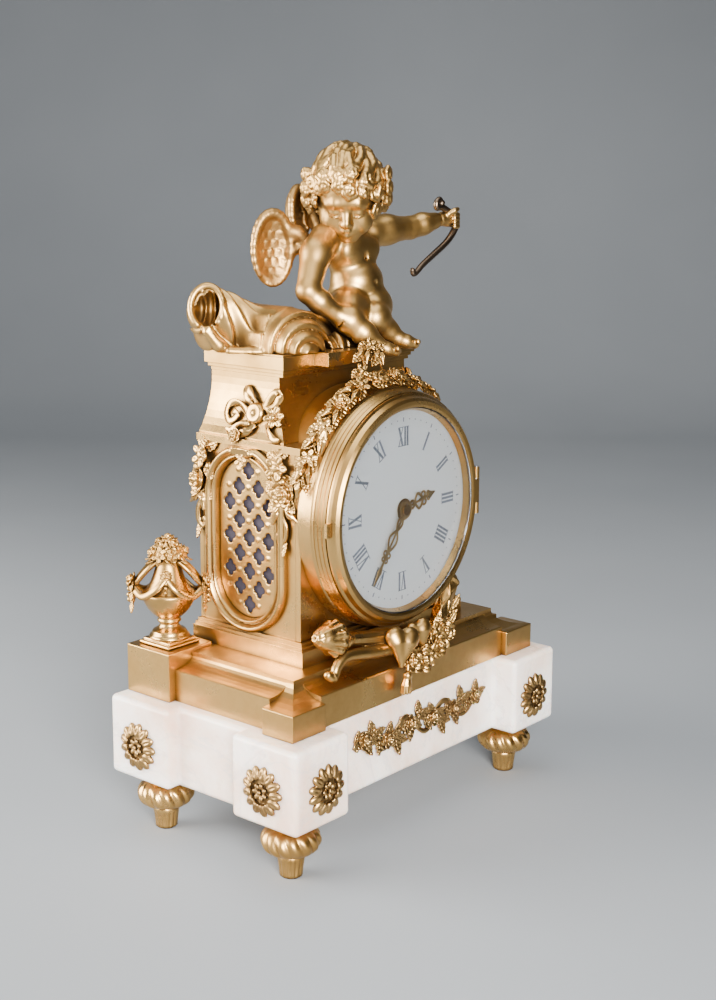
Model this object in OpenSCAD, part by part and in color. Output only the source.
// Gilt-bronze and white marble mantel clock with a seated cupid, a drum dial and a fretted case.
// Millimetres. +Z is up, the dial faces -Y, and +X is the viewer's right hand.
// The origin is the middle of the marble base's footprint, on the surface that the feet stand on.

/* [Marble base] */
// Width of the marble base
base_w = 180; // [170:1:190]
// Depth of the marble base
base_d = 106.8; // [104:0.2:112]
// Height of the marble slab
base_h = 34.7; // [32:0.1:38]
// Height of the feet
foot_h = 25.1; // [23:0.1:28]
// Width of a corner block along the front
block_front = 32.5; // [30:0.5:36]
// Width of a corner block along the side
block_side = 35; // [32:0.5:38]
// How far the front is set back between the corner blocks
front_recess = 11.8; // [8:0.1:13]
// How far the sides are set back between the corner blocks
side_recess = 6.8; // [4:0.1:8]

/* [Gilt plinth] */
// Half width of the plinth's lower band
band_x = 78; // [76:0.5:79]
// Half depth of the plinth's lower band
band_y = 42.3; // [41:0.1:43]
// Height of the lower band
band_h = 13.2; // [12:0.1:14]
// Height of the whole plinth
plinth_h = 19.2; // [18:0.1:21]
// How far the moulding steps in from the band to the rim
plinth_step = 10; // [8:0.5:11]
// Side of a square urn pedestal
pedestal_w = 25.6; // [24:0.2:27]
// Height of an urn pedestal
pedestal_h = 20.9; // [19:0.1:22]

/* [Case] */
// Half width of the case body
case_x = 50; // [50:0.5:52]
// Half depth of the case body
case_y = 29.1; // [28.6:0.1:30]
// Where the middle of the case lies behind the middle of the base
case_mid = 9.2; // [8.4:0.1:9.6]
// Height at which the case body starts
case_z0 = 88; // [87:0.5:92]
// Height at which the case body ends and the neck starts
case_z1 = 166.5; // [165:0.5:168]
// Height at which the neck ends
neck_z1 = 195.6; // [194:0.1:196.4]
// Half width of the neck where it meets the cornice
neck_top_x = 41.4; // [40:0.1:42]
// Height of the cornice's top face
top_z = 205; // [204:0.1:206]
// Wall thickness of the case panels
wall = 2.6; // [2:0.1:3]

/* [Dial and drum] */
// Height of the dial's centre
dial_z = 137.8; // [136:0.1:139]
// Outer radius of the drum that holds the dial
drum_r = 51.5; // [51:0.1:52]
// Front plane of the enamel dial
dial_y = -32.9; // [-33.5:0.1:-32.5]
// Sight radius of the bezel, which is the part of the dial that shows
sight_r = 42.4; // [41:0.1:43]

/* [Movement] */
// Radius of the movement plates
plate_r = 38; // [37:0.5:40]
// Space between the movement plates
plate_gap = 18; // [17.8:0.1:18.4]
// Running clearance of a pivot in its hole, on the radius
fit = 0.05; // [0.03:0.01:0.08]

/* [Hidden] */
$fn = 64;
eps = 0.01;

// Heights and planes that follow from the sizes above
marble_z1 = foot_h + base_h;
plinth_z1 = marble_z1 + plinth_h;
rim_x = band_x - plinth_step;
rim_y = band_y - plinth_step - 1.6;
front_y = case_mid - case_y;
back_y = case_mid + case_y;
foot_x = 74.4;
foot_y = 36.5;
pedestal_x = 81.7 - pedestal_w / 2;
pedestal_y = 38.4;
drum_y0 = dial_y - 0.5;
door_y = drum_y0 - 0.3;
back_door_r = 41;
tie_x = 36;
tie_y = case_mid;

// Movement layout: x and z of each arbor from the dial's centre
plate_y0 = -24;
plate_t = 2;
gap_y0 = plate_y0 + plate_t;
gap_y1 = gap_y0 + plate_gap;
rear_y1 = gap_y1 + plate_t;
barrel_at = [-12.374, -12.374];
inter_at = polar(15.12, 288.5);
third_at = polar(15.3, 110);
fourth_at = third_at + polar(12.75, 20);
escape_at = fourth_at + polar(11.7, -15);
balance_at = escape_at + polar(6.2, -40);
minute_at = polar(9.6, 200);
pillar_r = 34.5;
pillar_angles = [40, 140, 246, 320];

// Gearing: [teeth, module]
barrel_teeth = 84;
inter_teeth = 72;
centre_teeth = 80;
third_teeth = 75;
fourth_teeth = 80;
train_m = 0.36;
centre_m = 0.34;
third_m = 0.3;
fourth_m = 0.26;
motion_m = 0.4;
hour_m = 0.384;

// Outlines of the shapes that swing
hinge_x = 52.4;
hinge_y = door_y;
back_hinge_x = 44.6;
back_hinge_y = back_y + 1.6;

brass = "goldenrod";
gilt = [0.78, 0.6, 0.35];
steel = [0.45, 0.47, 0.52];

function polar(r, a) = [r * cos(a), r * sin(a)];
function involute(a) = tan(a) - a * PI / 180;

// ---------- Shared shapes ----------

// A flat slab that stands upright: its outline is drawn in x and z, and it runs from y0 back by t
module upright(y0, t) {
  translate([0, y0 + t, 0]) rotate([90, 0, 0]) linear_extrude(height = t) children();
}

// A rod along Y, from y0 back by t, at x and z
module rod(at, y0, t, r) {
  translate([at[0], y0 + t, at[1]]) rotate([90, 0, 0]) cylinder(r = r, h = t);
}

// A body of revolution about a Y axis through the dial's centre; points are [radius, y]
module spun(points) {
  translate([0, 0, dial_z]) rotate([90, 0, 0])
    rotate_extrude($fn = 128) polygon([for (p = points) [p[0], -p[1]]]);
}

module at_dial() {
  translate([0, 0, dial_z]) children();
}

// A block between two corners
module block(a, b) {
  translate(a) cube(b - a);
}

// A block that is symmetric in x, with y from y0 to y1 and z from z0 to z1
module slab(hx, y0, y1, z0, z1) {
  block([-hx, y0, z0], [hx, y1, z1]);
}

// The same shape on the left and on the right
module both_sides() {
  children();
  mirror([1, 0, 0]) children();
}

// An upright stadium, half width w and half height h, drawn in x and y
module stadium(w, h) {
  translate([0, h - w]) circle(r = w);
  translate([0, w - h]) circle(r = w);
  square([2 * w, 2 * (h - w)], center = true);
}

// Outline of one involute wheel or pinion, with a tooth centred on angle 0
module gear_outline(teeth, m, addendum = 0.8) {
  pitch = teeth * m / 2;
  base = pitch * cos(25);
  root = pitch - 1.1 * m;
  tip = pitch + addendum * m;
  low = max(base * 1.001, root);
  half = 90 / teeth - 0.06 * m / pitch * 180 / PI;
  levels = [low, (low + pitch) / 2, pitch, tip];
  spread = [for (r = levels) half + (involute(25) - involute(acos(base / r))) * 180 / PI];
  polygon([for (i = [0 : teeth - 1]) let (a = 360 * i / teeth) each concat(
    [root * [cos(a - spread[0]), sin(a - spread[0])]],
    [for (k = [0 : 3]) levels[k] * [cos(a - spread[k]), sin(a - spread[k])]],
    [for (k = [3 : -1 : 0]) levels[k] * [cos(a + spread[k]), sin(a + spread[k])]],
    [root * [cos(a + spread[0]), sin(a + spread[0])]])]);
}

// A toothed disc at one arbor, from y0 back by t, turned by phase
module gear(at, y0, t, teeth, m, phase = 0, addendum = 0.8) {
  translate([at[0], y0 + t, at[1]]) rotate([90, 0, 0])
    linear_extrude(height = t) rotate(phase) gear_outline(teeth, m, addendum);
}

// A train wheel with its rim, four crossings and hub
module crossed_wheel(at, y0, t, teeth, m, phase) {
  pitch = teeth * m / 2;
  inner = pitch - 3.2 * m - 0.6;
  difference() {
    gear(at, y0, t, teeth, m, phase);
    rod(at, y0 - 1, t + 2, inner);
  }
  translate([at[0], y0, at[1]]) for (a = [0, 90]) rotate([0, a, 0])
    translate([-inner - 0.3, 0, -0.7]) cube([2 * inner + 0.6, t, 1.4]);
  rod(at, y0 - 0.3, t + 0.6, 2.2);
}

// The angle from one arbor to another
function toward(a, b) = atan2(b[1] - a[1], b[0] - a[0]);

// Phase that centres a tooth on the line towards another arbor
function tooth_on(a, b) = toward(a, b);

// Phase that centres a gap on the line towards another arbor
function gap_on(a, b, teeth) = toward(a, b) + 180 / teeth;

centre_at = [0, 0];

// ---------- Marble base and feet ----------

module base_plan() {
  hx = base_w / 2;
  hy = base_d / 2;
  difference() {
    square([base_w, base_d], center = true);
    for (s = [-1, 1]) {
      translate([0, s * hy]) square([base_w - 2 * block_front, 2 * front_recess], center = true);
      translate([s * hx, 0]) square([2 * side_recess, base_d - 2 * block_side], center = true);
    }
  }
}

module marble_base() {
  color("ivory") difference() {
    translate([0, 0, foot_h]) linear_extrude(height = base_h) base_plan();
    for (x = [-foot_x, foot_x], y = [-foot_y, foot_y])
      translate([x, y, foot_h - 1]) cylinder(r = 2.05, h = 20);
    for (x = [-tie_x, tie_x]) {
      translate([x, tie_y, foot_h - 1]) cylinder(r = 2.1, h = base_h + 2);
      translate([x, tie_y, foot_h - 1]) cylinder(r = 7, h = 7);
    }
    for (p = rosette_places) place_rosette(p) cylinder(r = 1.05, h = 9, center = true);
  }
}

// A bun foot over a tapered spigot, with a tapped hole for its rod
module foot() {
  color(gilt) difference() {
    rotate_extrude() polygon(concat(
      [[0, 0], [4.2, 0], [5.2, 9.2], [6.6, 10]],
      [for (a = [-60 : 20 : 60]) [7 + 5 * cos(a), 16.6 + 7 * sin(a)]],
      [[8.6, 23.4], [8.6, foot_h], [0, foot_h]]));
    translate([0, 0, foot_h - 9]) cylinder(r = 1.6, h = 10);
  }
}

module foot_at(x, y) {
  translate([x, y, 0]) foot();
}

module foot_front_left() {
  foot_at(-foot_x, -foot_y);
}

module foot_front_right() {
  foot_at(foot_x, -foot_y);
}

module foot_rear_left() {
  foot_at(-foot_x, foot_y);
}

module foot_rear_right() {
  foot_at(foot_x, foot_y);
}

// Studs that hold the feet, and two tie rods with nuts that hold the case on the marble
module threaded_rods() {
  color(steel) {
    for (x = [-foot_x, foot_x], y = [-foot_y, foot_y])
      translate([x, y, foot_h - 8.5]) cylinder(r = 1.6, h = 26);
    for (x = [-tie_x, tie_x]) translate([x, tie_y, 0]) {
      translate([0, 0, foot_h + 1]) cylinder(r = 1.9, h = plinth_z1 + 7 - foot_h);
      for (z = [foot_h + 2.2, plinth_z1 + 3]) translate([0, 0, z]) cylinder(r = 4.6, h = 3.6, $fn = 6);
    }
  }
}

rosette_z = 40.5;
// Each rosette's middle and the direction that it faces: -90 is the front, 180 the left side
rosette_places = [
  [-72.5, -base_d / 2, -90], [72.5, -base_d / 2, -90],
  [-base_w / 2, -36, 180], [-base_w / 2, 36, 180],
  [base_w / 2, -36, 0], [base_w / 2, 36, 0]
];

module place_rosette(p) {
  translate([p[0], p[1], rosette_z]) rotate([0, 0, p[2]]) rotate([0, 90, 0]) children();
}

// Cast rosettes with a pin behind each, let into the marble
module marble_rosettes() {
  color("darkgoldenrod") for (p = rosette_places) place_rosette(p) {
    rotate_extrude() polygon([[0, 0.02], [10.6, 0.02], [11.2, 0.8], [10.6, 1.8], [7, 1.2],
      [5.4, 2], [3.2, 1.6], [2.6, 2.8], [0, 3.2]]);
    translate([0, 0, -4]) cylinder(r = 1, h = 4.5);
  }
}

// A cast garland across the recessed front of the marble
module frieze_mount() {
  y = -base_d / 2 + front_recess;
  color(gilt) for (i = [0 : 12]) {
    x = -40 + i * 80 / 12;
    rise = 2.5 * cos(i * 60);
    translate([x, y - 0.02, 44 + rise]) rotate([90, 0, 0]) cylinder(r = 4.2, h = 2.6 + (i % 2));
  }
}

// ---------- Gilt plinth ----------

// Half of the plinth's moulding: inset from the band and height above the marble
plinth_profile = concat(
  [[0, 0], [0, band_h]],
  [for (a = [0 : 15 : 90]) [0.5 + (plinth_step - 0.5) * sin(a), band_h + 0.4 + 3.9 * (1 - cos(a))]],
  [[plinth_step, plinth_h]]);

// A prism with a moulded section, symmetric about its middle
module moulded(half, profile) {
  right = [for (p = profile) [half - p[0], p[1]]];
  left = [for (i = [len(profile) - 1 : -1 : 0]) [profile[i][0] - half, profile[i][1]]];
  polygon(concat(right, left));
}

// The front corners' moulding starts lower, on top of the corner blocks
corner_x = [62.5, 82.5];
corner_y = [-45, -28.5];
corner_h = 11.2;
corner_lip = 0.7;
function corner_profile(step) = concat(
  [[corner_lip, 0], [corner_lip, corner_h]],
  [for (a = [0 : 15 : 90]) [corner_lip + (step - corner_lip) * sin(a), corner_h + 6.6 * (1 - cos(a))]],
  [[step, plinth_h]]);

// A body with one section along its depth and another along its width
module crossed(half_x, profile_x, half_y, profile_y) {
  intersection() {
    translate([0, 60, marble_z1]) rotate([90, 0, 0]) linear_extrude(height = 120)
      moulded(half_x, profile_x);
    translate([-90, 0, marble_z1]) rotate([90, 0, 90]) linear_extrude(height = 180)
      moulded(half_y, profile_y);
  }
}

module above_corners() {
  both_sides() block([corner_x[0], corner_y[0] - 5, marble_z1 + corner_h],
    [corner_x[1] + 5, corner_y[1], plinth_z1 + 1]);
}

module plinth_body() {
  difference() {
    crossed(band_x, plinth_profile, band_y, plinth_profile);
    above_corners();
  }
  intersection() {
    crossed(corner_x[1], corner_profile(corner_x[1] - band_x + plinth_step),
      -corner_y[0], corner_profile(-corner_y[0] - band_y + plinth_step));
    above_corners();
  }
}

module gilt_plinth() {
  color(gilt) difference() {
    plinth_body();
    corner_shapes(0.02);
    for (x = [-tie_x, tie_x]) translate([x, tie_y, marble_z1 - 1]) cylinder(r = 1.9, h = 30);
  }
}

// The front corner blocks and the rear pedestals; gap makes room for them in the plinth
module corner_shapes(gap = 0) {
  both_sides() {
    block([corner_x[0] - gap, corner_y[0] - gap, marble_z1 - gap],
      [corner_x[1] + gap, corner_y[1] + gap, marble_z1 + corner_h]);
    block([pedestal_x - pedestal_w / 2 - gap, pedestal_y - pedestal_w / 2 - gap, marble_z1 - gap],
      [pedestal_x + pedestal_w / 2 + gap, pedestal_y + pedestal_w / 2 + gap,
        marble_z1 + pedestal_h]);
  }
}

module plinth_corner_blocks() {
  color(gilt) corner_shapes();
}

// ---------- Urns ----------

// A footed urn with a lid of flowers and swags at its shoulders
module urn() {
  z0 = marble_z1 + pedestal_h;
  translate([0, 0, z0]) {
    block([-9.6, -9.6, 0], [9.6, 9.6, 2.6]);
    rotate_extrude() polygon([[0, 2.6], [8.2, 2.6], [8.2, 4], [6.8, 4.8], [6.4, 6.2], [4.4, 7.4],
      [3.8, 9.4], [5, 11.4], [8.6, 14.4], [11, 18], [11.6, 21], [10.4, 25], [7.4, 30], [5, 34],
      [5.2, 36], [8.6, 38], [9.8, 42], [7.4, 46.6], [0, 48.2]]);
    for (s = [-1, 1]) translate([0, s * 14.6, 18]) cylinder(r = 3, h = 10);
    for (s = [-1, 1]) translate([0, s * 11.4, 27]) sphere(r = 4.2);
  }
}

module urn_left() {
  color(gilt) translate([-pedestal_x, pedestal_y, 0]) rotate([0, 0, 40]) urn();
}

module urn_right() {
  color(gilt) translate([pedestal_x, pedestal_y, 0]) rotate([0, 0, -40]) urn();
}

// ---------- Case ----------

// The base moulding of the case, cut away under the drum
module case_socle() {
  color(gilt) difference() {
    union() {
      slab(case_x + 4.4, front_y - 5, back_y + 0.5, plinth_z1, case_z0 - 2.4);
      slab(case_x + 3, front_y - 3.4, back_y + 0.4, case_z0 - 2.4, case_z0 - 1.2);
      slab(case_x + 1.6, front_y - 2, back_y + 0.2, case_z0 - 1.2, case_z0);
    }
    slab(case_x - 9, front_y + 8, back_y - 8, plinth_z1 - 1, case_z0 + 1);
    at_dial() rod([0, 0], -40, 40 + front_y + 1, drum_r + 0.1);
  }
  color(gilt) difference() {
    slab(case_x - 9, front_y + 8, back_y - 8, plinth_z1, plinth_z1 + 3);
    for (x = [-tie_x, tie_x]) translate([x, tie_y, plinth_z1 - 1]) cylinder(r = 1.9, h = 5);
  }
}

// How far the round boss behind the drum runs back into the neck
boss_t = 18;

// The front panel: flat below, with a round boss behind the drum above
module case_front() {
  color(gilt) difference() {
    union() {
      slab(case_x, front_y, front_y + wall, case_z0, case_z1);
      intersection() {
        at_dial() rod([0, 0], front_y, boss_t, drum_r);
        slab(drum_r, front_y, front_y + boss_t, case_z1, 200);
      }
    }
    at_dial() rod([0, 0], front_y - 1, boss_t + 2, 46);
  }
}

// The back panel, with the two fixed knuckles of the back door's hinge
module case_back() {
  color(gilt) difference() {
    union() {
      slab(case_x, back_y - wall, back_y, case_z0, case_z1);
      for (s = [-1, 1]) translate([back_hinge_x, back_y, dial_z - 5 + s * 8]) {
        translate([0, 1.6, -2.5]) cylinder(r = 1.5, h = 5);
        block([-1.5, -0.5, -2.5], [1.5, 1.6, 2.5]);
      }
    }
    at_dial() rod([0, -5], back_y - 5, 10, 38);
    translate([back_hinge_x, back_hinge_y, dial_z - 17]) cylinder(r = 0.8, h = 24);
  }
}

side_mid = [case_mid + 0.8, 127.3];
opening_w = 16.9;
opening_h = 34.4;
frame_w = 23;
frame_h = 39.1;

// A stadium-shaped block through a side wall, centred on the side opening
module side_stadium(x0, x1, w, h) {
  translate([x0, side_mid[0], side_mid[1]]) rotate([90, 0, 90])
    linear_extrude(height = x1 - x0) stadium(w, h);
}

module case_side() {
  difference() {
    block([-case_x, front_y + wall, case_z0], [-case_x + wall, back_y - wall, case_z1]);
    side_stadium(-case_x - 1, -case_x + wall + 1, opening_w, opening_h);
  }
}

module case_side_left() {
  color(gilt) case_side();
}

module case_side_right() {
  color(gilt) mirror([1, 0, 0]) case_side();
}

// The raised frame round a side opening, with its keystone and the flower drops beside it
module side_frame() {
  difference() {
    side_stadium(-case_x - 2, -case_x, frame_w, frame_h);
    side_stadium(-case_x - 3, -case_x + 1, opening_w, opening_h);
  }
  block([-case_x - 3.4, side_mid[0] - 3.4, 160], [-case_x, side_mid[0] + 3.4, case_z1]);
  for (s = [[-1, 18.2, 1.0], [1, 20.2, 0.6]], i = [0 : 6])
    translate([-case_x, side_mid[0] + s[0] * (s[1] + i * s[2]), 161 - i * 5.4]) rotate([0, -90, 0])
      cylinder(r = 3.4 - i * 0.24, h = 4.4 - i * 0.3);
}

module side_frame_left() {
  color(gilt) side_frame();
}

module side_frame_right() {
  color(gilt) mirror([1, 0, 0]) side_frame();
}

// A pierced lattice of staggered rings inside a side opening
module fret() {
  pitch = 7;
  difference() {
    side_stadium(-case_x + 0.9, -case_x + 2.1, opening_w - 0.05, opening_h - 0.05);
    for (row = [-9 : 9], col = [-2 : 2]) {
      y = (col + (abs(row) % 2) / 2) * pitch;
      z = row * pitch / 2;
      if (norm([y, max(0, abs(z) - opening_h + opening_w)]) < opening_w - 2.8)
        translate([-case_x, side_mid[0] + y, side_mid[1] + z]) rotate([0, 90, 0])
          cylinder(r = 2.05, h = 5, center = true, $fn = 16);
    }
  }
}

module fret_left() {
  color(gilt) fret();
}

module fret_right() {
  color(gilt) mirror([1, 0, 0]) fret();
}

// Cloth glued behind the frets
module silk_panels() {
  color([0.45, 0.36, 0.42]) both_sides() side_stadium(-case_x + wall, -case_x + wall + 0.6,
    opening_w + 1.4, opening_h + 1.2);
}

// One side of the neck: a ledge, then a hollow curve up to the cornice, as [outward, height]
function neck_curve(ledge, bottom, top) = concat(
  [[ledge, case_z1], [ledge, case_z1 + 3], [bottom, case_z1 + 3]],
  [for (t = [0 : 0.125 : 1]) [top + (bottom - top) * (1 - t) * (1 - t), case_z1 + 3.6 + 23 * t]],
  [[top, neck_z1]]);

// The neck's outline between a curve on the right and a curve on the left
module neck_outline(right, left) {
  polygon(concat(right, [for (i = [len(left) - 1 : -1 : 0]) [-left[i][0], left[i][1]]]));
}

// The neck before it is hollowed
module neck_body() {
  side = neck_curve(case_x + 1.2, case_x - 0.6, neck_top_x);
  front = neck_curve(1.2 - front_y, 10.5, 0.8);
  back = [[back_y, case_z1], [back_y, neck_z1]];
  intersection() {
    translate([0, 60, 0]) rotate([90, 0, 0]) linear_extrude(height = 120)
      neck_outline(side, side);
    translate([-80, 0, 0]) rotate([90, 0, 90]) linear_extrude(height = 160)
      neck_outline(back, front);
  }
}

module case_neck() {
  color(gilt) difference() {
    neck_body();
    slab(36, 4, back_y - 4, case_z1 - 1, neck_z1 - 4);
    at_dial() rod([0, 0], -40, 40 + front_y + boss_t + 0.02, drum_r + 0.02);
    translate([-bolt_at[0], bolt_at[1], neck_z1 - 5]) cylinder(r = 2.05, h = 10);
  }
}

// Where the bolt that holds the figure passes: left of the middle, and back
bolt_at = [14, 20];
cornice_x = 43.5;
cornice_y0 = -5;
cornice_y1 = 40.8;
breakfront_x = 24.5;
breakfront_y = cornice_y0 - 8;

// The cornice's steps, as [inset, lower z, upper z]
cornice_steps = [[2, neck_z1, neck_z1 + 1.6], [1.1, neck_z1 + 1.6, neck_z1 + 3.2],
  [0, neck_z1 + 3.2, top_z - 0.8], [0.6, top_z - 0.8, top_z]];

module cornice() {
  color(gilt) difference() {
    union() {
      for (s = cornice_steps)
        slab(cornice_x - s[0], cornice_y0 + s[0], cornice_y1 - s[0], s[1], s[2]);
      slab(breakfront_x, breakfront_y, cornice_y0 + 2, neck_z1 + 3.6, top_z);
    }
    translate([-bolt_at[0], bolt_at[1], neck_z1 - 5]) cylinder(r = 2.05, h = 20);
  }
}

// A tied ribbon with two rosettes on each side of the neck
module ribbon_bows() {
  knots = [[9, 180, 4.6], [-2, 180, 4.6], [14.6, 171.6, 3], [13, 189, 3.4], [1, 189, 3.4],
    [22, 179, 3.6]];
  color(gilt) difference() {
    both_sides() for (k = knots) translate([-case_x + 0.4 + (k[1] - 170) * 0.3, k[0], k[1]])
      rotate([0, -90, 0]) cylinder(r = k[2], h = 6, center = true);
    neck_body();
  }
}

// ---------- Drum, dial and bezel ----------

// The drum with its reeded front
module drum_shell() {
  color(gilt) {
    spun([[45.4, front_y], [drum_r, front_y], [drum_r, -26.6], [50.8, -27],
      [50.4, -27.5], [50.9, -28.4], [50.3, -29.4], [50.8, -30.4], [50.2, -31.4], [50.6, -32.4],
      [50, drum_y0], [45.4, drum_y0]]);
    for (s = [-1, 1]) difference() {
      translate([0, 0, dial_z + s * 8]) union() {
        translate([hinge_x, hinge_y, -2.5]) cylinder(r = 1.5, h = 5);
        block([49.6, hinge_y + 0.4, -2.5], [hinge_x, hinge_y + 4, 2.5]);
      }
      translate([hinge_x, hinge_y, dial_z - 12]) cylinder(r = 0.8, h = 24);
    }
  }
}

// The enamelled dial with its brass rim let into the drum
module dial() {
  color("white") difference() {
    spun([[0, dial_y], [45.3, dial_y], [45.3, dial_y + 1.4], [0, dial_y + 1.4]]);
    at_dial() rod([0, 0], dial_y - 1, 4, 2.9);
  }
}

// The hinged bezel with its inner sloping slip, hinge knuckle and thumb piece
module front_bezel() {
  color(gilt) {
    spun([[sight_r, dial_y - 0.4], [43.2, dial_y - 0.4], [44, door_y], [49.6, door_y],
      [49.6, door_y - 0.8], [48.6, door_y - 1.4], [47.8, door_y - 3.4], [46.6, door_y - 4.4],
      [45, door_y - 4.2], [44, door_y - 3.7], [44, door_y - 2.5], [43.6, door_y - 2.4]]);
    difference() {
      translate([hinge_x, hinge_y, dial_z - 5.2]) union() {
        cylinder(r = 1.5, h = 10.4);
        block([-4, -1.5, 0], [0, -0.3, 10.4]);
      }
      translate([hinge_x, hinge_y, dial_z - 12]) cylinder(r = 0.8 + fit, h = 24);
    }
    block([-51.4, door_y - 2, dial_z - 3], [-48.6, door_y - 0.4, dial_z + 3]);
  }
}

module bezel_glass() {
  color([0.8, 0.9, 0.9, 0.3]) spun([[0, door_y - 3.6], [43.9, door_y - 3.6], [43.9, door_y - 2.5],
    [0, door_y - 2.5]]);
}

// The pins of the bezel's hinge and of the back door's hinge
module hinge_pins() {
  color(steel) {
    translate([hinge_x, hinge_y, dial_z - 11]) cylinder(r = 0.8, h = 22);
    translate([back_hinge_x, back_hinge_y, dial_z - 16]) cylinder(r = 0.8, h = 22);
  }
}

// The round back door and the knuckles that carry it
module back_door() {
  z = dial_z - 5;
  color(brass) {
    difference() {
      translate([0, 0, z]) union() {
        rod([0, 0], back_y + 0.3, 1.6, back_door_r);
        rod([-34, 0], back_y + 1.8, 6, 2.4);
        translate([back_hinge_x, back_hinge_y, -5.2]) cylinder(r = 1.5, h = 10.4);
        block([back_door_r - 4, back_y + 0.5, -5.2], [back_hinge_x, back_y + 1.8, 5.2]);
      }
      translate([back_hinge_x, back_hinge_y, z - 14]) cylinder(r = 0.8 + fit, h = 28);
      translate([0, 0, z]) for (a = [0 : 30 : 330])
        rod([24 * cos(a), 24 * sin(a)], back_y - 1, 6, 2.2);
    }
  }
}

// ---------- Movement ----------

strap_x = 42.2;
strap_screw_x = 38.4;

// Two straps from the bezel seat to the back of the case, each held by a long screw
module movement_straps() {
  color(brass) at_dial() for (s = [-1, 1]) difference() {
    union() {
      translate([s * strap_x - 1.2, dial_y + 1.6, -4])
        cube([2.4, back_y - wall - dial_y - 1.8, 8]);
      translate([s * strap_x - (s > 0 ? 6 : 0), 6, -4]) cube([6, 2, 8]);
    }
    rod([s * strap_screw_x, 0], 4, 6, 1.3);
  }
}

module strap_screws() {
  color(steel) at_dial() for (s = [-1, 1]) {
    rod([s * strap_screw_x, 0], -3, 11.2, 1.2);
    rod([s * strap_screw_x, 0], 8.02, 1.6, 2.4);
  }
}

click_at = barrel_at + [-7.6, -3.4];

// Every arbor's hole in a plate, as [place, pivot radius]
pivots = [[inter_at, 0.5], [third_at, 0.45], [fourth_at, 0.4], [escape_at, 0.35]];

// One movement plate, from y0 back, with a hole of the given size for the balance staff
module plate(y0, staff_r) {
  difference() {
    union() {
      rod([0, 0], y0, plate_t, plate_r);
      slab(strap_x - 1.3, y0, y0 + plate_t, -4, 4);
    }
    for (p = pivots) rod(p[0], y0 - 1, plate_t + 2, p[1] + fit);
    rod(centre_at, y0 - 1, plate_t + 2, 1.2 + fit);
    rod(barrel_at, y0 - 1, plate_t + 2, 1.6 + fit);
    rod(balance_at, y0 - 1, plate_t + 2, staff_r + fit);
    for (s = [-1, 1]) rod([s * strap_screw_x, 0], y0 - 1, plate_t + 2, 1.2);
  }
}

module movement_front_plate() {
  color(brass) at_dial() {
    difference() {
      plate(plate_y0, 0.3);
      for (a = pillar_angles) rod(polar(pillar_r, a), plate_y0 - 1, plate_t + 2, 1.5);
    }
    difference() {
      rod(minute_at, plate_y0 - 5, 5, 0.8);
      rod(minute_at, plate_y0 - 6, 1, 0.4);
    }
  }
}

// The rear plate with its four riveted pillars, whose ends pass through the front plate
module movement_rear_plate() {
  color(brass) at_dial() {
    plate(gap_y1, 0.5);
    rod(click_at, rear_y1 - 0.2, 2.2, 0.6);
    for (a = pillar_angles) {
      rod(polar(pillar_r, a), gap_y0, plate_gap, 2.6);
      rod(polar(pillar_r, a), plate_y0 - 1.2, plate_t + 1.2, 1.5);
    }
  }
}

level_barrel = gap_y0 + 12.6;
level_inter = gap_y0 + 10;
level_centre = gap_y0 + 1;
level_third = gap_y0 + 4;
level_fourth = gap_y0 + 7;

barrel_phase = tooth_on(barrel_at, inter_at);
inter_pinion_phase = gap_on(inter_at, barrel_at, 12);
inter_phase = tooth_on(inter_at, centre_at);
centre_pinion_phase = gap_on(centre_at, inter_at, 12);
centre_phase = tooth_on(centre_at, third_at);
third_pinion_phase = gap_on(third_at, centre_at, 10);
third_phase = tooth_on(third_at, fourth_at);
fourth_pinion_phase = gap_on(fourth_at, third_at, 10);
fourth_phase = tooth_on(fourth_at, escape_at);
escape_pinion_phase = gap_on(escape_at, fourth_at, 10);

// The mainspring barrel with its great wheel
module barrel() {
  color(brass) at_dial() difference() {
    union() {
      gear(barrel_at, level_barrel, 1.4, barrel_teeth, train_m, barrel_phase);
      rod(barrel_at, level_barrel + 1.3, 3.6, 13.4);
    }
    rod(barrel_at, level_barrel + 1.2, 2.8, 12.6);
    rod(barrel_at, level_barrel - 1, 8, 2 + fit);
  }
}

// The winding arbor, with its ratchet wheel and square behind the rear plate
module winding_arbor() {
  color(steel) at_dial() {
    rod(barrel_at, plate_y0 + 0.2, rear_y1 - plate_y0 + 3, 1.6);
    rod(barrel_at, gap_y0 + 0.2, plate_gap - 0.4, 2);
    difference() {
      gear(barrel_at, rear_y1 + 0.3, 1.2, 24, 0.36, 0, 0.8);
      rod(barrel_at, rear_y1, 3, 1.5);
    }
    translate([barrel_at[0] - 1.1, rear_y1 + 1, barrel_at[1] - 1.1]) cube([2.2, 8, 2.2]);
  }
}

// The click that holds the ratchet wheel, turning on its screw
module ratchet_click() {
  color(steel) at_dial() difference() {
    union() {
      rod(click_at, rear_y1 + 0.3, 1.2, 1.6);
      translate([click_at[0], rear_y1 + 0.3, click_at[1]]) rotate([0, -50, 0])
        translate([0, 0, -0.6]) cube([3.6, 1.2, 1.2]);
    }
    rod(click_at, rear_y1, 3, 0.6 + fit);
  }
}

module intermediate_wheel() {
  color(brass) at_dial() {
    crossed_wheel(inter_at, level_inter, 1.2, inter_teeth, train_m, inter_phase);
    gear(inter_at, level_barrel - 0.3, 2, 12, train_m, inter_pinion_phase);
    rod(inter_at, gap_y0 + 0.2, plate_gap - 0.4, 0.8);
    rod(inter_at, plate_y0 + 0.3, plate_gap + 2 * plate_t - 0.6, 0.5);
  }
}

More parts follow.
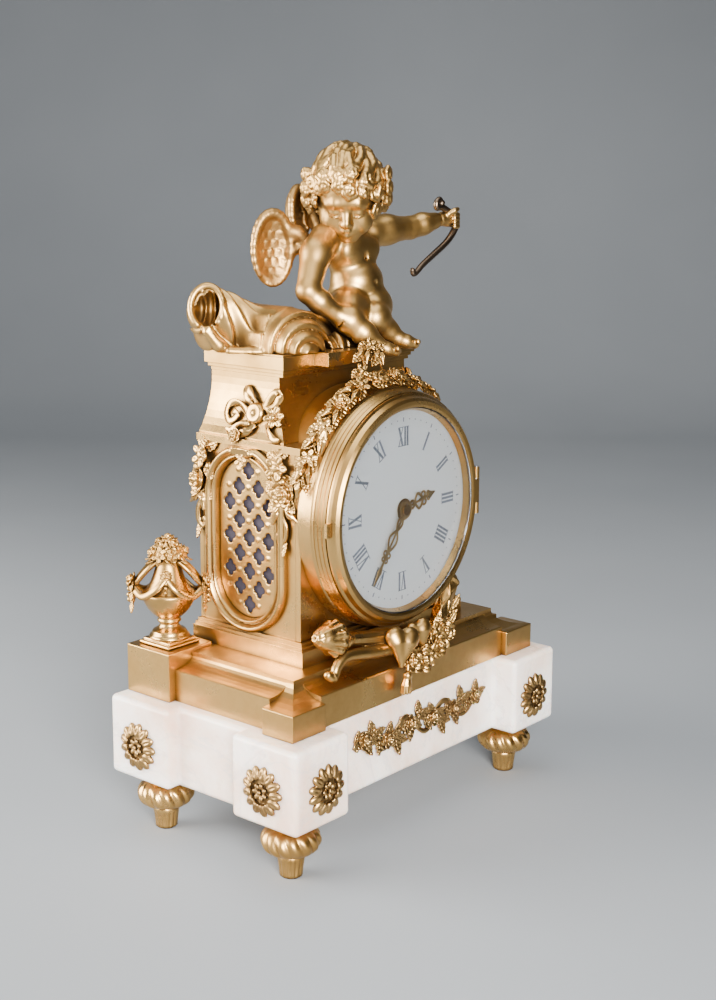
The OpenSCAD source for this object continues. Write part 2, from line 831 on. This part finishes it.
// The centre arbor, which turns once an hour and carries the hand-setting square at the back
module centre_wheel() {
  color(brass) at_dial() {
    crossed_wheel(centre_at, level_centre, 1.2, centre_teeth, centre_m, centre_phase);
    gear(centre_at, level_inter - 0.4, 2, 12, train_m, centre_pinion_phase);
    rod(centre_at, -35.2, rear_y1 + 35.2, 1.2);
    rod(centre_at, gap_y0 + 0.2, plate_gap - 0.4, 1.5);
    translate([-0.8, rear_y1 - 0.1, -0.8]) cube([1.6, 8, 1.6]);
  }
}

module third_wheel() {
  color(brass) at_dial() {
    crossed_wheel(third_at, level_third, 1.1, third_teeth, third_m, third_phase);
    gear(third_at, level_centre - 0.3, 1.9, 10, centre_m, third_pinion_phase);
    rod(third_at, gap_y0 + 0.2, plate_gap - 0.4, 0.7);
    rod(third_at, plate_y0 + 0.3, plate_gap + 2 * plate_t - 0.6, 0.45);
  }
}

module fourth_wheel() {
  color(brass) at_dial() {
    crossed_wheel(fourth_at, level_fourth, 1, fourth_teeth, fourth_m, fourth_phase);
    gear(fourth_at, level_third - 0.4, 1.9, 10, third_m, fourth_pinion_phase);
    rod(fourth_at, gap_y0 + 0.2, plate_gap - 0.4, 0.6);
    rod(fourth_at, plate_y0 + 0.3, plate_gap + 2 * plate_t - 0.6, 0.4);
  }
}

// The cylinder escapement's wheel: fifteen teeth on a thin rim
module escape_wheel() {
  y0 = gap_y0 + 12;
  color(steel) at_dial() {
    gear(escape_at, level_fourth - 0.4, 1.8, 10, fourth_m, escape_pinion_phase);
    rod(escape_at, gap_y0 + 0.2, plate_gap - 0.4, 0.5);
    rod(escape_at, plate_y0 + 0.3, plate_gap + 2 * plate_t - 0.6, 0.35);
    rod(escape_at, y0, 0.8, 3.8);
    translate([escape_at[0], y0, escape_at[1]]) for (i = [0 : 14]) rotate([0, i * 24 + 12, 0])
      translate([3.6, 0, -0.35]) cube([1.3, 0.8, 0.7]);
  }
}

// The balance on its cylinder staff
module balance_wheel() {
  y0 = rear_y1 + 1;
  color(brass) at_dial() {
    difference() {
      rod(balance_at, y0, 1, 8);
      rod(balance_at, y0 - 1, 3, 7);
    }
    translate([balance_at[0] - 7.2, y0, balance_at[1] - 0.5]) cube([14.4, 1, 1]);
    rod(balance_at, gap_y0 + 0.2, rear_y1 + 2.4 - gap_y0, 0.5);
    rod(balance_at, gap_y0 + 11, 3, 0.9);
    rod(balance_at, plate_y0 + 0.4, rear_y1 - plate_y0 + 4.4, 0.3);
  }
}

// The cock that carries the balance's rear pivot
module balance_cock() {
  foot_at_plate = balance_at + polar(10.6, 35);
  color(brass) at_dial() difference() {
    union() {
      translate([balance_at[0], rear_y1 + 2.8, balance_at[1]]) rotate([0, -35, 0])
        translate([-1.6, 0, -2]) cube([13.4, 1.4, 4]);
      rod(foot_at_plate, rear_y1, 4.2, 2);
    }
    rod(balance_at, rear_y1, 6, 0.3 + fit);
  }
}

// ---------- Motion work and hands ----------

minute_phase = tooth_on(minute_at, centre_at);
cannon_phase = gap_on(centre_at, minute_at, 12);
minute_pinion_phase = tooth_on(minute_at, centre_at);
hour_phase = gap_on(centre_at, minute_at, 40);
hour_angle = 78;
minute_angle = 216;

module cannon_pinion() {
  color(steel) at_dial() difference() {
    union() {
      gear(centre_at, plate_y0 - 2, 1.6, 12, motion_m, cannon_phase);
      rod(centre_at, -34.6, 34.6 + plate_y0 - 0.3, 1.7);
    }
    rod(centre_at, -36, 14, 1.2);
  }
}

module minute_wheel() {
  color(brass) at_dial() difference() {
    union() {
      gear(minute_at, plate_y0 - 1.8, 1.2, 36, motion_m, minute_phase);
      gear(minute_at, plate_y0 - 4.4, 2.8, 10, hour_m, minute_pinion_phase);
    }
    rod(minute_at, plate_y0 - 6, 8, 0.8 + fit);
  }
}

module hour_wheel() {
  color(brass) at_dial() difference() {
    union() {
      gear(centre_at, plate_y0 - 4.2, 1.2, 40, hour_m, hour_phase);
      rod(centre_at, -34, 34 + plate_y0 - 3, 2.4);
    }
    rod(centre_at, -36, 14, 1.7 + fit);
  }
}

// A hand drawn upwards from the dial's centre, turned clockwise by angle
module hand(y0, t, angle, reach, width, bore) {
  at_dial() rotate([0, angle, 0]) difference() {
    union() {
      rod([0, 0], y0, t, bore + 1.5);
      translate([-width / 6, y0, 0]) cube([width / 3, t, reach * 0.9]);
      rod([0, reach * 0.42], y0, t, width / 2);
      rod([0, reach * 0.66], y0, t, width / 3);
      translate([-0.4, y0, reach * 0.6]) cube([0.8, t, reach * 0.4]);
    }
    rod([0, 0], y0 - 1, t + 2, bore);
    rod([0, reach * 0.42], y0 - 1, t + 2, width / 4);
  }
}

module hour_hand() {
  color(gilt) hand(-33.9, 0.4, hour_angle, 20, 6, 2.4);
}

module minute_hand() {
  color(gilt) hand(-34.8, 0.4, minute_angle, 38, 6, 1.7);
}

module hand_nut() {
  color(gilt) at_dial() difference() {
    rod([0, 0], -35.4, 0.58, 2.3);
    rod([0, 0], -35.25, 1, 1.2);
  }
}

// ---------- Figure, drapery and flowers ----------

// A limb that tapers from one ball to the next
module limb(a, ra, b, rb) {
  hull() {
    translate(a) sphere(r = ra, $fn = 16);
    translate(b) sphere(r = rb, $fn = 16);
  }
}

// Joints of the figure: head, chest, hips, and each limb's joints
head = [8, 5, 272.4];
chest = [13.5, 9, 243];
hips = [17, 11, 223];
right_shoulder = [-3, 10, 250];
right_elbow = [-18, 4, 233];
right_hand = [1, -9, 213];
left_shoulder = [29, 8, 252];
left_elbow = [50, 4, 254];
left_hand = [69, -3, 257];
left_knee = [14, -6, 218.5];
right_knee = [-2, -6, 216];
left_foot = [21, -16.6, 206];
right_foot = [7, -16.6, 205];

module cupid() {
  color(gilt) difference() {
    union() {
      translate(head) sphere(r = 19.8, $fn = 24);
      limb(head + [1, 1, -16], 8, chest + [0, 0, 10], 9);
      limb(chest, 13, hips, 13);
      limb(right_shoulder, 6.5, right_elbow, 5);
      limb(right_elbow, 5, right_hand, 4);
      limb(left_shoulder, 6.5, left_elbow, 5);
      limb(left_elbow, 5, left_hand, 4);
      limb(hips + [-6, -3, -1], 9, right_knee, 7);
      limb(right_knee, 6, right_foot, 3.4);
      limb(hips + [5, -3, -1], 9, left_knee, 7);
      limb(left_knee, 6, left_foot, 3.4);
      limb(left_foot, 3.4, left_foot + [7, -2, -1.4], 2.6);
    }
    slab(40, breakfront_y, cornice_y1, 190, top_z);
    drapery_body();
  }
}

// One wing, from its root at a shoulder to a broad oval blade
module wing(root, middle, turn, tall) {
  hull() {
    translate(root) sphere(r = 3, $fn = 16);
    translate(middle) rotate([0, 0, turn]) scale([1, 0.22, tall]) sphere(r = 10, $fn = 24);
  }
}

module cupid_wings() {
  color(gilt) {
    wing([-5, 19, 249], [-20, 25, 246], -12, 1.6);
    wing([9, 21, 250], [7, 32, 260], 66, 1.15);
  }
}

// The bow in the left hand: a curl at the top, the grip, and the long lower limb
module cupid_bow() {
  color([0.3, 0.24, 0.2]) {
    limb([63, -4, 265.5], 1.3, [59.6, -4, 262.2], 1.3);
    limb([59.6, -4, 262.2], 1.3, [68, -4, 260.5], 1.3);
    limb([68, -4, 260.5], 1.3, [75, -4, 255], 1.3);
    limb([75, -4, 255], 1.3, [67, -4, 246], 1.2);
    limb([67, -4, 246], 1.2, [43, -4, 232.8], 1);
  }
}

// Drapery over a rolled bolster, which the figure sits on
module drapery_body() {
  difference() {
    union() {
      limb([-27, 10, 207], 17, [-27, 28, 207], 17);
      limb([-52, 25, 225], 9.4, [-52, 33, 225], 9.4);
      limb([-50, 28, 220], 8, [-38, 28, 212], 13);
      limb([-14, 16, 207], 12, [28, 16, 206], 12);
    }
    slab(100, -60, 80, 150, top_z + 0.01);
  }
}

module drapery() {
  color(gilt) drapery_body();
  color(steel) translate([-bolt_at[0], bolt_at[1], neck_z1 - 4]) cylinder(r = 2, h = 16);
}

// Balls of flowers and leaves along a hanging curve between two points
module flower_chain(from, to, drop, count, r0, r1) {
  for (i = [0 : count - 1]) {
    t = i / (count - 1);
    p = from + t * (to - from) + [0, 0, -drop * 4 * t * (1 - t)];
    translate(p) sphere(r = r0 + (r1 - r0) * t, $fn = 12);
  }
}

// The flower garland that runs over the drum from the figure's hand
module garland() {
  color(gilt) difference() {
    union() {
      for (i = [0 : 9]) let (p = polar(drum_r + 4.6, 108 + i * 6.2))
        translate([p[0], -22.5, dial_z + p[1]]) sphere(r = 4.5 - i * 0.1, $fn = 12);
      for (i = [0 : 8]) let (p = polar(drum_r + 4.6, 101 - i * 6.6))
        translate([p[0], -23, dial_z + p[1]]) sphere(r = 4.4 - i * 0.12, $fn = 12);
      flower_chain([-1, -15, 208], [-12, -20, 197], 0, 4, 3.6, 4.6);
    }
    slab(breakfront_x, breakfront_y, cornice_y1, 190, top_z);
    slab(case_x + 1.2, front_y - 1.2, back_y, case_z1, case_z1 + 3);
    slab(case_x, front_y, back_y, case_z0, case_z1);
  }
}

// ---------- Trophy on the front of the plinth ----------

// A torch and a bow that lie against the foot of the case
module torch_body() {
  limb([-50, -35, 92.4], 6, [-40, -34.6, 90], 5);
  limb([-40, -34.6, 90], 3.2, [-8, -35, 84.6], 3);
  limb([-53, -36.6, 79.4], 2.2, [-38, -37, 82], 2.2);
  limb([-38, -37, 82], 2.2, [-10, -39, 80.6], 2);
}

module trophy_torch() {
  color(gilt) torch_body();
}

// Two hearts side by side, each a hull of two balls and a point
module hearts_body() {
  for (x = [-9.5, 4]) translate([x, -42 + x / 8, 81]) rotate([0, 0, -22]) hull() {
    for (s = [-1, 1]) translate([s * 3, 0, 2.6]) sphere(r = 3, $fn = 16);
    translate([0.6, 0, -5.4]) sphere(r = 1.2, $fn = 16);
  }
}

module trophy_hearts() {
  color(gilt) difference() {
    hearts_body();
    torch_body();
  }
}

module trophy_flowers() {
  color(gilt) difference() {
    union() {
      flower_chain([-10, -43, 74.4], [32, -38, 80], 1, 7, 3.4, 4.4);
      flower_chain([26, -38, 83], [41, -30, 97], 0, 5, 5, 3.6);
      limb([10, -38, 82], 4, [28, -36, 84], 4);
      limb([-13.5, -46.6, 64], 2.2, [-12, -45, 71], 1.6);
    }
    hearts_body();
    torch_body();
    plinth_body();
    slab(case_x + 4.4, front_y - 5, back_y, plinth_z1, case_z0 - 2.4);
    at_dial() rod([0, 0], -33.6, 20, drum_r + 0.3);
  }
}

// ---------- Show the nodes ----------

marble_base();
foot_front_left();
foot_front_right();
foot_rear_left();
foot_rear_right();
threaded_rods();
marble_rosettes();
frieze_mount();
gilt_plinth();
plinth_corner_blocks();
urn_left();
urn_right();
case_socle();
case_front();
case_back();
case_side_left();
case_side_right();
side_frame_left();
side_frame_right();
fret_left();
fret_right();
silk_panels();
case_neck();
cornice();
ribbon_bows();
drum_shell();
dial();
front_bezel();
bezel_glass();
hinge_pins();
back_door();
movement_straps();
strap_screws();
movement_front_plate();
movement_rear_plate();
barrel();
winding_arbor();
ratchet_click();
intermediate_wheel();
centre_wheel();
third_wheel();
fourth_wheel();
escape_wheel();
balance_wheel();
balance_cock();
cannon_pinion();
minute_wheel();
hour_wheel();
hour_hand();
minute_hand();
hand_nut();
cupid();
cupid_wings();
cupid_bow();
drapery();
garland();
trophy_torch();
trophy_hearts();
trophy_flowers();
